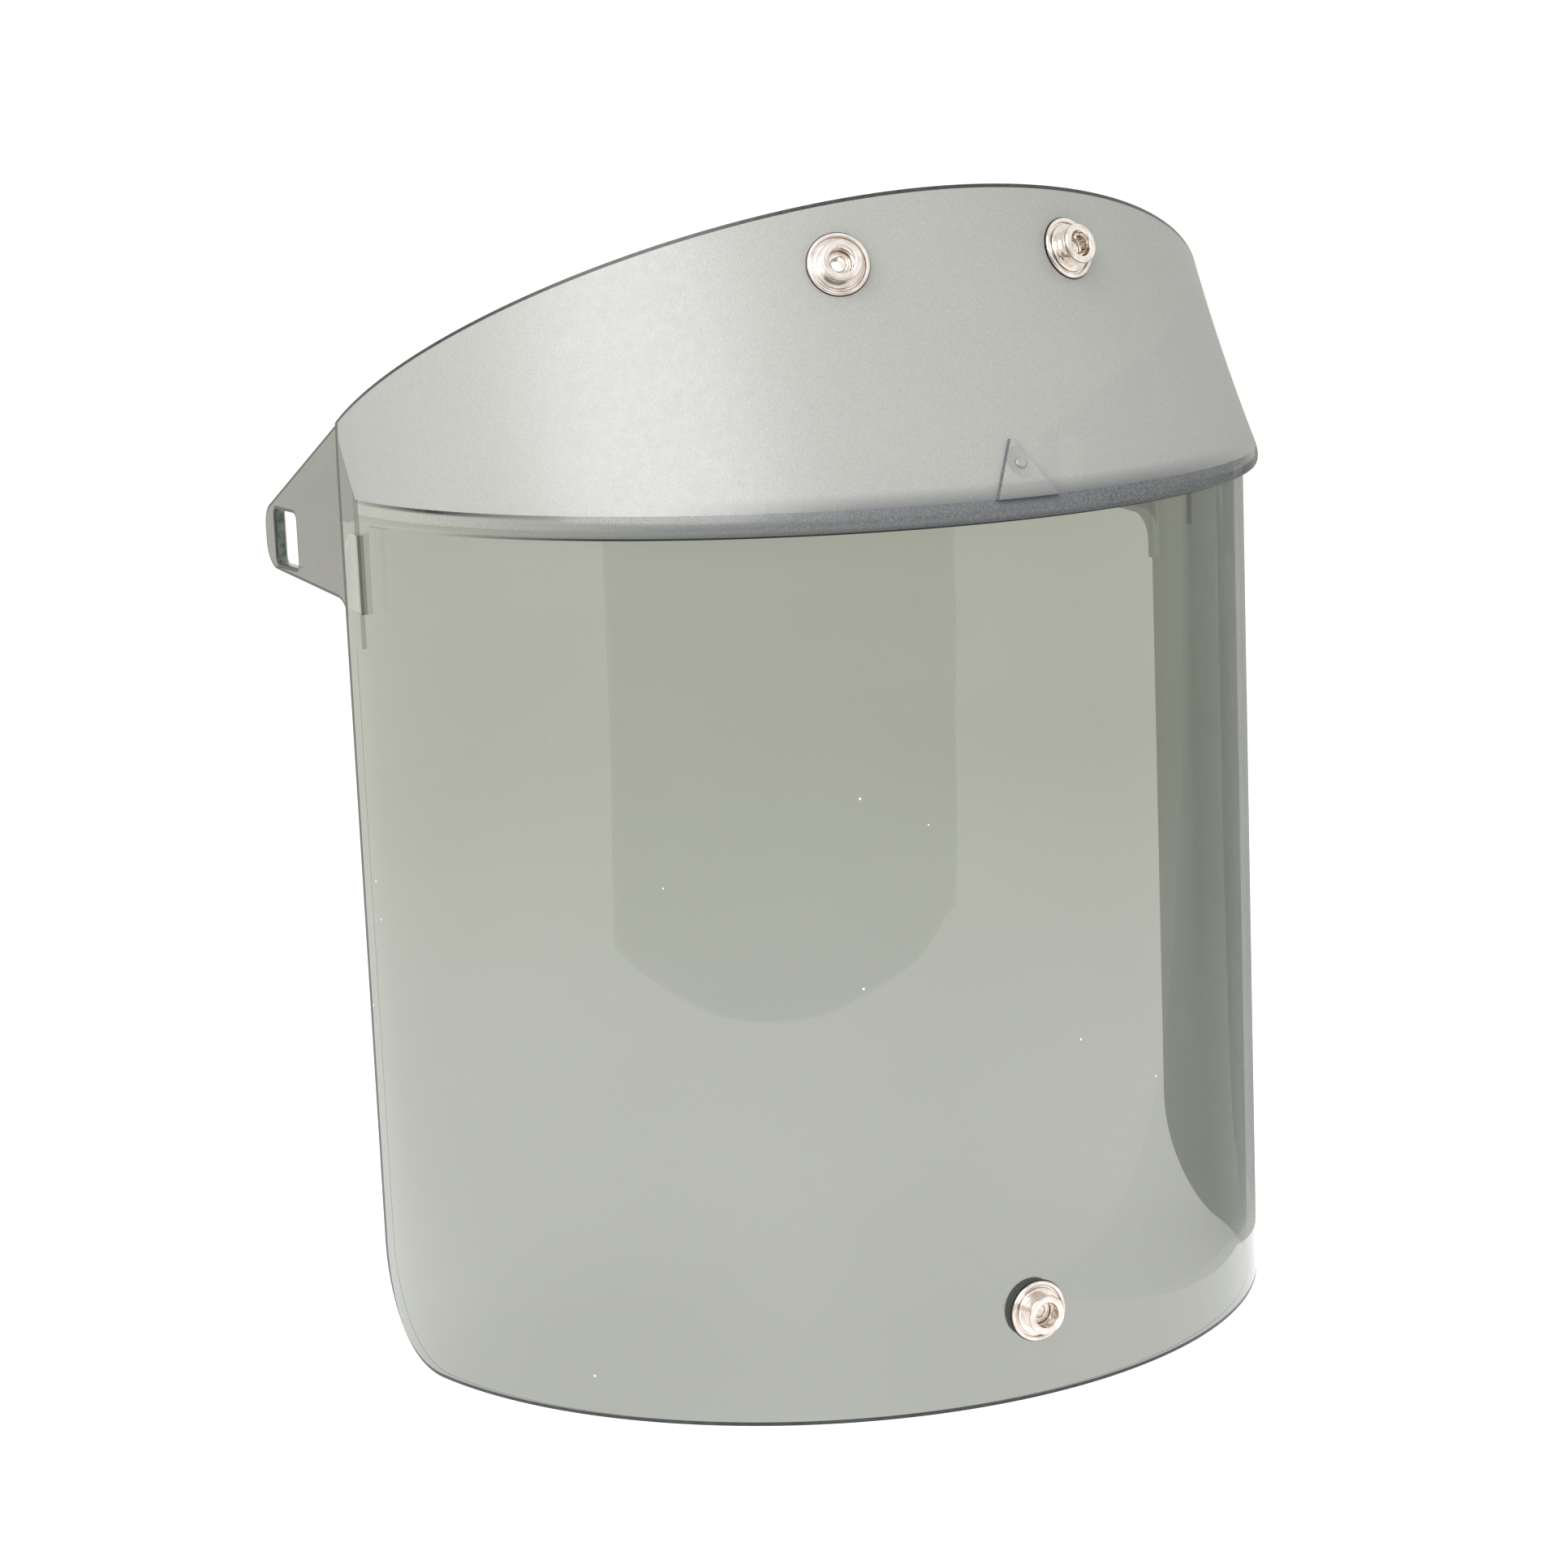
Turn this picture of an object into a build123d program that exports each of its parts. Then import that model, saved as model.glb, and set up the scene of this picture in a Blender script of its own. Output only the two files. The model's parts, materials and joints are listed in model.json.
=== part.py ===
from build123d import *
import math
import os

# Face shield: one tinted moulding (window, flared brow and two slotted ears) and three snap fasteners.
# Millimetres. Front is -Y, up is +Z, X = 0 is the plane of symmetry.
# The outlines below are drawn about the axis of the window's curve, with Z = 0 at the bottom rim.
# Everything is then moved along Y, so that the origin is the bottom centre of the bounding box.

# ---- window ----
half_width = 100.0          # symmetry plane to the outside of a side wall
window_depth = 98.5         # axis of the curve to the outside of the window's front
side_wall = 4.5             # straight side walls run this far behind the axis
wall = 2.0                  # thickness of the moulding
window_top = 178.6          # here the lip leaves the window
bottom_corner_radius = 24.0 # seen from the side

# ---- brow: D-shaped sections that shrink and lean back as they rise ----
lip_top = 183.8             # lowest edge of the brow, where its rounded lip begins
brow_rise = 60.0            # height over which the changes below are given
brow_axis_start = -5.1      # axis of the section's ellipse at the lip
brow_lean = 43.8            # the axis moves back by this over brow_rise
brow_lean_easing = -16.9    # less so towards the top
brow_taper = -4.2           # change of half width over brow_rise
brow_depth_start = -1.5     # depth of the ellipse less its half width, at the lip
brow_depth_growth = 5.5     # and how much that grows over brow_rise
brow_sections = 5
top_edge_back = 198.8       # height of the sloping top edge at the back edge of the side walls
top_edge_slope = 0.532      # rise of the top edge per unit forward
# share of the overhang at each height above window_top: nearly flat below, bulging a little above
lip_profile = ((0.0, 0.0), (0.6, 0.55), (1.5, 0.98), (3.2, 1.12))
lip_floor = 1.6             # thickness of the lip's underside

# ---- ears ----
ear_inset = 0.6             # outer face of the ear, inside the outer face of the side wall
ear_thickness = 2.6
ear_root = 3.0              # the ear's root laps the side wall by this much
ear_back = 52.0             # rear end, behind the axis
ear_top_at_back = 176.7
ear_low_at_wall = 161.5
ear_low_at_back = 164.5
ear_top_radius = 5.5
ear_low_radius = 6.0
ear_throat_radius = 6.0     # concave, between the ear and the back edge of the window
slot_length = 13.0          # along Y
slot_height = 11.8
slot_centre = (39.2, 171.5) # Y, Z
slot_corner = 1.5

# ---- wedge pads on the outside of the side walls, ahead of the ears ----
pad_front = -7.5
pad_back = 2.5
pad_low = 160.4
pad_high = 176.7
pad_proud = 1.1
pad_corner = 5.0

# ---- gate pad: raised triangle with a round dimple on the front of the brow ----
gate_width = 14.0
gate_top = 194.5
gate_proud = 1.2
gate_point = (0.6, 189.8)   # X, Z
dimple_radius = 3.8
dimple_depth = 0.9
gate_stub_radius = 1.1
gate_stub_height = 0.5

# ---- snap fasteners ----
lower_stud_height = 18.2
upper_stud_height = 228.9
upper_stud_offset = 26.0
seat_radius = 6.4           # flat seat moulded for each fastener
seat_depth = 0.25           # below the crown of the curved outside
hole_radius = 2.05
sheet = 0.4                 # sheet metal of studs and eyelets
flange_radius = 6.25
bead_radius = 0.5           # rolled edge of the stud's flange
ring_radius = 4.75          # stepped ring round the neck
ring_height = 0.95
neck_radius = 3.35
head_radius = 3.95
head_height = 3.95
recess_radius = 2.75
stud_bore = 2.05
stamping_radius = 0.22
eyelet_radius = 1.6         # middle of the barrel's wall
curl_radius = 2.25          # the barrel's end, curled out over the stud's floor
eyelet_flange = 5.3
washer_radius = 6.1
washer_thickness = 0.8

reach = 400.0               # longer than anything it cuts


def d_outline(axis_y, half, depth, z, back=60.0):
    """D-shaped face at height z: half an ellipse to the front, straight sides and a flat back."""
    front = EllipticalCenterArc((0, axis_y), half, depth, start_angle=180, arc_size=180)
    rest = Polyline((half, axis_y), (half, back), (-half, back), (-half, axis_y))
    return Pos(0, 0, z) * make_face([front, rest])


def brow_shape(z):
    """Axis position, half width and depth of the brow's section at height z."""
    rise = (z - lip_top) / brow_rise
    axis_y = brow_axis_start + brow_lean * rise + brow_lean_easing * rise**2
    half = half_width + brow_taper * rise**2
    depth = half + brow_depth_start + brow_depth_growth * rise
    return axis_y, half, depth


def lip_shape(share):
    """Section of the rounded lip at a share of the overhang from the window to the brow's lowest edge."""
    window = (0.0, half_width, window_depth)
    return tuple(low + share * (high - low) for low, high in zip(window, brow_shape(lip_top)))


def body_of(inset, lift):
    """Solid inside the shield's outer skin, or with an inset and a lift inside its inner skin."""
    def face(shape, z):
        axis_y, half, depth = shape
        return d_outline(axis_y, half - inset, depth - inset, z + lift)

    top = lip_top + 1.25 * brow_rise
    brow_heights = [lip_top + (top - lip_top) * i / (brow_sections - 1) for i in range(brow_sections)]
    window_face = d_outline(0.0, half_width - inset, window_depth - inset, -lift)
    window = extrude(window_face, window_top + 2 * lift)
    lip_faces = [face(lip_shape(share), window_top + height) for height, share in lip_profile]
    lip = loft(lip_faces + [face(brow_shape(lip_top), lip_top)])
    brow = loft([face(brow_shape(z), z) for z in brow_heights])
    return window + lip + brow


def side_profile():
    """Side view of window and brow, extruded right across."""
    front = -2 * window_depth
    top_front = top_edge_back + top_edge_slope * (side_wall - front)
    corners = [(front, 0), (side_wall, 0), (side_wall, top_edge_back), (front, top_front)]
    outline = make_face(Polyline(*corners, close=True))
    corner = outline.vertices().sort_by(Axis.Y)[:2].sort_by(Axis.X)[-1]
    outline = fillet(corner, bottom_corner_radius)
    return extrude(Plane.YZ * outline, reach / 2, both=True)


def shell():
    """Window, lip and brow, without ears."""
    hollow = body_of(0, 0) - body_of(wall, lip_floor)
    return hollow & side_profile()


def surface_point(x, z):
    """Point on the brow's outer skin."""
    axis_y, half, depth = brow_shape(z)
    return Vector(x, axis_y - depth * math.sqrt(1 - (x / half) ** 2), z)


def seat_plane(x, z):
    """Plane on the outer skin at x and z, facing out. Below the lip the skin is the upright window."""
    if z < window_top:
        return Plane(origin=(x, -window_depth, z), x_dir=(1, 0, 0), z_dir=(0, -1, 0))
    step = 0.1
    along_x = surface_point(x + step, z) - surface_point(x - step, z)
    along_z = surface_point(x, z + step) - surface_point(x, z - step)
    return Plane(origin=surface_point(x, z), x_dir=along_x, z_dir=along_x.cross(along_z))


def ear(side):
    """Slotted lug behind a side wall, with its root inside the wall. side is -1 or +1."""
    root = side_wall - ear_root
    throat_low = ear_low_at_wall - 1.6 * ear_throat_radius
    corners = [
        (root, throat_low),
        (side_wall, throat_low),
        (side_wall, ear_low_at_wall),
        (ear_back, ear_low_at_back),
        (ear_back, ear_top_at_back),
        (side_wall, top_edge_back),
        (root, top_edge_back),
    ]
    radii = (0, 0, ear_throat_radius, ear_low_radius, ear_top_radius, 0, 0)
    outline = make_face(FilletPolyline(*corners, radius=radii, close=True))
    slot = Pos(*slot_centre) * RectangleRounded(slot_length, slot_height, slot_corner)
    outer_face = half_width - ear_inset
    inner_face = outer_face - ear_thickness
    return extrude(Plane.YZ.offset(side * inner_face) * (outline - slot), side * ear_thickness)


def wedge_pad(side):
    """Pad that rises towards the front, on the outside of a side wall."""
    corners = [(pad_front, pad_low), (pad_back, pad_low), (pad_back, pad_high), (pad_front, pad_high)]
    outline = make_face(FilletPolyline(*corners, radius=(0, 0, pad_corner, 0), close=True))
    block = extrude(Plane.YZ.offset(side * (half_width - wall / 2)) * outline, side * wall * 2)
    plan = [
        (side * (half_width - wall / 2), pad_back),
        (side * half_width, pad_back),
        (side * (half_width + pad_proud), pad_front),
        (side * (half_width - wall / 2), pad_front),
    ]
    ramp = extrude(make_face(Polyline(*plan, close=True)), reach)
    return block & ramp


def gate_pad():
    """Raised triangle on the brow, with a round dimple and the gate's stub in it."""
    corners = [(-gate_width / 2, lip_top), (gate_width / 2, lip_top), (0, gate_top)]
    outline = make_face(Polyline(*corners, close=True))
    skin = body_of(-gate_proud, 0) - body_of(wall / 2, lip_floor)
    return extrude(Plane.XZ * outline, reach) & skin


def dimple():
    """Round hollow in the gate pad, less the gate's stub left standing in it."""
    ball_radius = (dimple_radius**2 + dimple_depth**2) / (2 * dimple_depth)
    pad_face = seat_plane(*gate_point) * Pos(0, 0, gate_proud)
    scoop = Pos(0, 0, ball_radius - dimple_depth) * Sphere(ball_radius)
    stub = Pos(0, 0, -dimple_depth) * Cylinder(gate_stub_radius, 2 * gate_stub_height)
    return pad_face * (scoop - stub)


def fastener_seat(seat):
    """Flat disc of full wall thickness that a fastener is clamped to."""
    return seat * (Pos(0, 0, -seat_depth - wall / 2) * Cylinder(seat_radius, wall))


def visor(seats):
    """The moulding, with flat seats and holes for the fasteners."""
    body = shell() + gate_pad() - dimple()
    for side in (-1, 1):
        body += ear(side)
        body += wedge_pad(side)
    for seat in seats:
        body -= seat * (Pos(0, 0, wall / 2) * Cylinder(seat_radius, 2 * seat_depth + wall))
        body += fastener_seat(seat)
        body -= seat * Cylinder(hole_radius, 6 * wall)
    return body


def stamping(points):
    """Sheet metal part turned about Z, from the middle line of its section as (radius, height)."""
    line = FilletPolyline(*points, radius=stamping_radius)
    section = Plane.XZ * trace(line, sheet)
    return revolve(section, Axis.Z)


def stud():
    """Male snap stud on its seat. Floor, recess, rolled head, neck, stepped ring and beaded flange."""
    floor = sheet / 2
    points = [
        (stud_bore, floor),
        (recess_radius, floor),
        (recess_radius, head_height),
        (head_radius, head_height),
        (neck_radius, ring_height + 1.0),
        (neck_radius, ring_height),
        (ring_radius, ring_height),
        (ring_radius, floor),
        (flange_radius - bead_radius, floor),
    ]
    bead = Pos(0, 0, bead_radius) * Torus(flange_radius - bead_radius, bead_radius)
    return stamping(points) + bead


def eyelet():
    """Tubular eyelet from the inside of the moulding, curled out over the stud's floor."""
    flange = -wall - washer_thickness - sheet / 2
    curl = 1.5 * sheet
    points = [(eyelet_flange, flange), (eyelet_radius, flange), (eyelet_radius, curl), (curl_radius, curl)]
    return stamping(points)


def washer():
    """Flat washer between the moulding and the eyelet's flange."""
    ring = Cylinder(washer_radius, washer_thickness) - Cylinder(hole_radius, washer_thickness)
    return Pos(0, 0, -wall - washer_thickness / 2) * ring


seats = {
    "upper_right": seat_plane(-upper_stud_offset, upper_stud_height),
    "upper_left": seat_plane(upper_stud_offset, upper_stud_height),
    "lower": seat_plane(0, lower_stud_height),
}
nodes = {"visor": visor(seats.values())}
for place, seat in seats.items():
    on_seat = seat * Pos(0, 0, -seat_depth)
    nodes[f"stud_{place}"] = on_seat * stud()
    nodes[f"eyelet_{place}"] = on_seat * eyelet()
    nodes[f"washer_{place}"] = on_seat * washer()

centring = Pos(0, -nodes["visor"].bounding_box().center().Y, 0)
os.makedirs("parts", exist_ok=True)
for name, solid in nodes.items():
    placed = centring * solid
    placed.label = name
    export_step(placed, f"parts/{name}.step")
    box = placed.bounding_box()
    print(name, len(placed.solids()), round(placed.volume, 1), box.min, box.max)
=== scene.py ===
import bpy
import bmesh
import json
import math
from mathutils import Matrix, Vector

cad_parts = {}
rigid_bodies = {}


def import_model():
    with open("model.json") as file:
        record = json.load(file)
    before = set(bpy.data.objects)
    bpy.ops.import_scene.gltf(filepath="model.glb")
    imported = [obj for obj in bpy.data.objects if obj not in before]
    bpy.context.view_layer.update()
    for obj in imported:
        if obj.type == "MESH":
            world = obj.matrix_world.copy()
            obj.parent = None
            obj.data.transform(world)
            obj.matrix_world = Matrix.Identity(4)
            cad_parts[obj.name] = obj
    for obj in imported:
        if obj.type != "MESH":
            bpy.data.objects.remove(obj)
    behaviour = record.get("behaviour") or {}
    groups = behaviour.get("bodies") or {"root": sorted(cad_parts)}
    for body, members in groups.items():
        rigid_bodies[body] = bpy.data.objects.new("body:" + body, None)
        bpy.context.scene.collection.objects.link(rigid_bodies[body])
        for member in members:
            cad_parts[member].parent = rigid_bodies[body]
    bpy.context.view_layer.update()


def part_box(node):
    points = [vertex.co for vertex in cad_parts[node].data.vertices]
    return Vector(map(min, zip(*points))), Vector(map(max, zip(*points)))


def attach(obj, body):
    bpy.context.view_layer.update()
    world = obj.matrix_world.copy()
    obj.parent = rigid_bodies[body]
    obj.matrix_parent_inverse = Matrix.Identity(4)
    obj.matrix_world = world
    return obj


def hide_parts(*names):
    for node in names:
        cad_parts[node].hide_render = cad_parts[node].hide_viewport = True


# Face shield: a tinted moulding with a satin brow, and three snap fasteners.
# The outlines are drawn in millimetres about the axis of the window's curve, as in the CAD,
# and are then moved into the frame: metres, front -Y, up +Z, origin under the middle of the box.

for extra in list(bpy.data.objects):
    bpy.data.objects.remove(extra, do_unlink=True)
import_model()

MM = 0.001

# ---- window ----
HALF_WIDTH = 100.0
WINDOW_DEPTH = 98.5
SIDE_WALL = 4.5
WALL = 2.0
WINDOW_TOP = 178.6
CORNER_RADIUS = 24.0

# ---- brow ----
LIP_TOP = 183.8
BROW_RISE = 60.0
BROW_AXIS = (-5.1, 43.8, -16.9)   # start, lean, easing
BROW_TAPER = -4.2
BROW_DEPTH = (-1.5, 5.5)          # start, growth
TOP_EDGE_BACK = 198.8
TOP_EDGE_SLOPE = 0.532
LIP_PROFILE = ((0.0, 0.0), (0.6, 0.55), (1.5, 0.98), (3.2, 1.12), (5.2, 1.0))
LIP_FLOOR = 1.6
FACET_LEAST = 1.5                 # least width of the flat facet beside the brow

# ---- ears and pads ----
EAR_OUTER = HALF_WIDTH - 0.6
EAR_INNER = EAR_OUTER - 2.6
EAR_ROOT = 3.0
EAR_BACK = 52.0
EAR_TOP_AT_BACK = 176.7
EAR_LOW_AT_WALL = 161.5
EAR_LOW_AT_BACK = 164.5
EAR_RADII = (5.5, 6.0, 6.0)       # top, low, throat
SLOT = (39.2, 171.5, 13.0, 11.8, 1.5)   # centre y and z, length, height, corner radius
PAD_FRONT, PAD_BACK, PAD_LOW, PAD_HIGH = -7.5, 2.5, 160.4, 176.7
PAD_PROUD = 1.1
PAD_CORNER = 5.0
THROAT_DROP = 1.6                 # how far the ear goes on below its throat, in throat radii
EAR_ROUNDING = 0.4
# The ear's margin takes the dark edge zone, a line of painted shade along its outline.
EAR_MARGIN = 0.8                  # strip inside the ear's outline that shows as a dark line

# ---- gate pad ----
GATE_WIDTH = 14.0
GATE_TOP = 194.5
GATE_PROUD = 1.17
GATE_POINT = (0.6, 189.8)
GATE_TIP = 0.35                   # half width at its top
GATE_ROUNDING = 0.3
DIMPLE_RADIUS = 3.8
DIMPLE_DEPTH = 0.9
BOWL_REACH = 1.35                 # how far the dimple's cutter goes, in dimple radii
STUB_RADIUS = 1.1
STUB_HEIGHT = 0.5
STUB_CHAMFER = 0.15
STUB_TOP = ((0.0, -0.12), (0.45, -0.05), (0.6, 0.0))   # its dished top, as radius and height

# ---- snap fasteners ----
LOWER_STUD = (0.0, 18.2)
UPPER_STUD = (26.0, 228.9)
SEAT_RADIUS = 6.4
SEAT_DEPTH = 0.25
HOLE_RADIUS = 2.05
SHEET = 0.4
STUD_LINE = ((2.05, 0.2), (2.75, 0.2), (2.75, 3.95), (3.95, 3.95), (3.35, 1.95),
             (3.35, 0.95), (4.75, 0.95), (4.75, 0.2), (5.75, 0.2))
BEAD_CENTRE = (5.75, 0.5)
BEAD_RADIUS = 0.5
BEAD_TURN = 250.0                 # degrees that the stud's outer edge curls through
EYELET_LINE = ((5.3, -3.0), (1.6, -3.0), (1.6, 0.6), (2.25, 0.6))
STAMPING_RADIUS = 0.22
WASHER = (HOLE_RADIUS, 6.1, -2.0, -2.8, 0.12)   # inner and outer radius, front, back, chamfer

# ---- meshes ----
RIM_ROUNDING = 0.32
# The margins beside the rim take the dark edge zone, lines of painted shade.
MARGIN = 0.75                     # strip beside the top and bottom rim that shows as a dark line
SIDE_MARGIN = 1.3                 # the same beside the back edges
CORNER_STEPS = 10
STRAIGHT_STEPS = 4
FRONT_STEPS = 150
CORNER_ROWS = 12
WINDOW_ROWS = 44
LIP_ROWS = 16
LIP_GATHER = 1.6                  # brings the lip's rows nearer to its lower edge
BROW_ROWS = 46
BEAD_STEPS = 12
BOWL_STEPS = 12
BOWL_SEGMENTS = 48
SEAT_SEGMENTS = 64
STUD_SEGMENTS = 128
RING_SEGMENTS = 96
MOULDED_SHARP, STAMPED_SHARP = 32.0, 40.0   # degrees from which a corner is shaded sharp

shift_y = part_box("visor")[1].y / MM - EAR_BACK


def placed(x, y, z):
    """Frame position, in metres, of a point given in the drawing's millimetres."""
    return Vector((x * MM, (y + shift_y) * MM, z * MM))


# ================================ materials ================================
# Colours are linear, with alpha. Positions and distances in the nodes are in metres.

WHITE = (1, 1, 1, 1)
FINE_GRAIN, LIP_GRAIN, COARSE_GRAIN = 2600.0, 2300.0, 520.0   # noise scales of the spark-eroded grain
COARSE_SHARE = 0.6                # height of the coarse grain beside the fine one
GRAIN_HEIGHT = 0.00012


class Graph:
    """A material's node tree, with short calls to add and link nodes."""

    def __init__(self, name):
        self.material = bpy.data.materials.new(name)
        self.material.use_nodes = True
        self.tree = self.material.node_tree
        self.tree.nodes.clear()
        self.out = self.tree.nodes.new("ShaderNodeOutputMaterial")

    def add(self, kind, settings=None, **sockets):
        node = self.tree.nodes.new("ShaderNode" + kind)
        for key, value in (settings or {}).items():
            setattr(node, key, value)
        for key, value in sockets.items():
            self.put(node, key.replace("_", " "), value)
        return node

    def put(self, node, socket, value):
        target = node.inputs[int(socket)] if socket.isdigit() else node.inputs[socket]
        if isinstance(value, bpy.types.NodeSocket):
            self.tree.links.new(value, target)
        else:
            target.default_value = value

    def position(self):
        return self.add("TexCoord").outputs["Object"]

    def axes(self):
        """The position's x, y and z."""
        return self.add("SeparateXYZ", Vector=self.position()).outputs

    def noise(self, scale, detail=2.0, rough=0.5):
        node = self.add("TexNoise", Scale=scale, Detail=detail, Roughness=rough, Vector=self.position())
        return node.outputs["Fac"]

    def ramp(self, value, low, high, start=0.0, end=1.0):
        """value mapped from low..high to start..end, clamped."""
        node = self.add("MapRange", Value=value)
        for index, number in enumerate((low, high, start, end), 1):
            node.inputs[index].default_value = number
        return node.outputs[0]

    def spread(self, noise, start=0.0, end=1.0):
        """A noise mapped to start..end. Most of its values lie between 0.3 and 0.7."""
        return self.ramp(noise, 0.3, 0.7, start, end)

    def math(self, operation, a, b=0.0):
        node = self.add("Math", {"operation": operation})
        self.put(node, "0", a)
        self.put(node, "1", b)
        return node.outputs[0]

    def forward(self, y):
        """Distance in front of the axis of the window's curve."""
        return self.math("SUBTRACT", shift_y * MM, y)

    def blend(self, factor, a, b):
        """Colour between a and b."""
        node = self.add("Mix", {"data_type": "RGBA"})
        self.put(node, "0", factor)
        self.put(node, "6", a)
        self.put(node, "7", b)
        return node.outputs[2]

    def mix(self, factor, a, b):
        """Shader between a and b."""
        node = self.add("MixShader")
        self.put(node, "0", factor)
        self.put(node, "1", a)
        self.put(node, "2", b)
        return node.outputs[0]

    def bump(self, height, strength, distance):
        return self.add("Bump", Strength=strength, Distance=distance, Height=height).outputs[0]

    def grain_bump(self, fine, coarse, strength):
        height = self.math("ADD", fine, self.math("MULTIPLY", coarse, COARSE_SHARE))
        return self.bump(height, strength, GRAIN_HEIGHT)

    def see_through(self, colour):
        return self.add("BsdfTransparent", Color=colour).outputs[0]

    def matt(self, colour):
        return self.add("BsdfDiffuse", Color=colour).outputs[0]

    def gloss(self, rough, **sockets):
        return self.add("BsdfGlossy", Color=WHITE, Roughness=rough, **sockets).outputs[0]

    def sheen_of_sheet(self, least=0.04, most=1.0):
        """Share of light that a surface mirrors, more at a glancing angle."""
        facing = self.add("LayerWeight", Blend=0.5).outputs["Facing"]
        glancing = self.math("POWER", facing, 5.0)
        return self.ramp(glancing, 0.0, 1.0, least, most)

    def finish(self, shader):
        self.tree.links.new(shader, self.out.inputs["Surface"])
        return self.material


def clear_plastic(name, tint, paler, haze, rough=(0.015, 0.05)):
    """Clear sheet with ripples, smears and dust. The tint is what one of its two surfaces lets through."""
    g = Graph(name)
    patches = g.ramp(g.noise(9.0), 0.35, 0.65)
    through = g.see_through(g.blend(patches, tint, paler))
    ripple = g.bump(g.noise(28.0, detail=1.0), strength=0.35, distance=0.0004)
    smear = g.ramp(g.noise(60.0, detail=4.0, rough=0.6), 0.35, 0.75, *rough)
    mirror = g.gloss(smear, Normal=ripple)
    film = g.matt(g.blend(patches, (0.72, 0.74, 0.71, 1), (0.78, 0.79, 0.76, 1)))
    grains = g.add("TexVoronoi", Scale=150.0, Vector=g.position())
    speck = g.ramp(grains.outputs["Distance"], 0.030, 0.045, 1.0, 0.0)
    few = g.ramp(g.add("SeparateColor", Color=grains.outputs["Color"]).outputs[0], 0.84, 0.845)
    dusty = g.math("MULTIPLY", speck, few)
    veil = g.math("MAXIMUM", g.spread(g.noise(14.0, detail=3.0), 0.6 * haze, 1.4 * haze), dusty)
    sheet = g.mix(veil, through, film)
    return g.finish(g.mix(g.sheen_of_sheet(), sheet, mirror))


def satin_plastic(name, pale, dark, rough, mirror_share):
    """Moulded plastic with a fine spark-eroded grain, which lets light through but no clear view. Just
    above the lip at the front it is darkened with painted shade.
    """
    g = Graph(name)
    fine = g.noise(FINE_GRAIN, rough=0.6)
    coarse = g.noise(COARSE_GRAIN)
    cloud = g.spread(g.noise(16.0, detail=3.0))
    spots = g.ramp(fine, 0.28, 0.72)
    tone = g.math("ADD", g.math("MULTIPLY", spots, 0.75), g.math("MULTIPLY", cloud, 0.25))
    _, y, height = g.axes()
    # Painted shade: just above the lip at the front the brow turns dark grey-blue, as the shade of its
    # rounding.
    above_lip = g.ramp(height, (LIP_TOP + 3.0) * MM, (LIP_TOP - 0.2) * MM)
    lip_painted_shade = g.math("MULTIPLY", above_lip, g.ramp(g.forward(y), 0.078, 0.098))
    colour = g.blend(lip_painted_shade, g.blend(tone, dark, pale), (0.13, 0.135, 0.145, 1))
    normal = g.grain_bump(fine, coarse, strength=0.35)
    matt = g.add("BsdfDiffuse", Color=colour, Normal=normal).outputs[0]
    glow = g.add("BsdfTranslucent", Color=colour, Normal=normal).outputs[0]
    body = g.mix(0.05, g.mix(0.35, matt, glow), g.see_through((0.62, 0.65, 0.61, 1)))
    mirror = g.gloss(g.spread(coarse, rough - 0.05, rough + 0.05), Normal=normal)
    return g.finish(g.mix(g.sheen_of_sheet(mirror_share, 0.16), body, mirror))


def lip_plastic(name):
    """The brow's rounded lip: a coarse dark grain that fades to clear plastic at the sides, with thin dark
    lines of painted shade along its crease and its root.
    """
    g = Graph(name)
    _, y, height = g.axes()
    forward = g.forward(y)
    fine = g.noise(LIP_GRAIN, rough=0.6)
    coarse = g.noise(COARSE_GRAIN)
    spots = g.ramp(fine, 0.34, 0.66)
    colour = g.blend(spots, (0.045, 0.049, 0.054, 1), (0.128, 0.135, 0.146, 1))
    normal = g.grain_bump(fine, coarse, strength=0.5)
    matt = g.add("BsdfDiffuse", Color=colour, Normal=normal).outputs[0]
    gloss = g.gloss(g.spread(coarse, 0.30, 0.42), Normal=normal)
    grained = g.mix(g.sheen_of_sheet(0.055, 0.15), matt, gloss)
    clear = g.see_through((0.56, 0.575, 0.545, 1))
    side = g.mix(g.sheen_of_sheet(), clear, g.gloss(g.spread(coarse, 0.10, 0.16)))
    ragged = g.math("ADD", forward, g.spread(fine, -0.014, 0.014))
    body = g.mix(g.ramp(ragged, 0.030, 0.104), side, grained)
    # Painted shade: thin dark lines along the crease under the brow at the sides, and along the root where
    # the lip meets the window.
    at_crease = g.ramp(height, (LIP_TOP - 1.0) * MM, (LIP_TOP - 0.5) * MM)
    beside_front = g.math("MULTIPLY", g.ramp(forward, 0.070, 0.036), g.ramp(forward, -0.002, 0.034))
    crease = g.math("MULTIPLY", at_crease, beside_front)
    at_root = g.ramp(height, (WINDOW_TOP + 0.9) * MM, (WINDOW_TOP + 0.5) * MM)
    root = g.math("MULTIPLY", at_root, g.ramp(forward, 0.036, 0.066))
    shade = g.matt(g.blend(spots, (0.02, 0.022, 0.022, 1), (0.045, 0.048, 0.048, 1)))
    return g.finish(g.mix(g.math("MAXIMUM", crease, root), body, shade))


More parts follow.
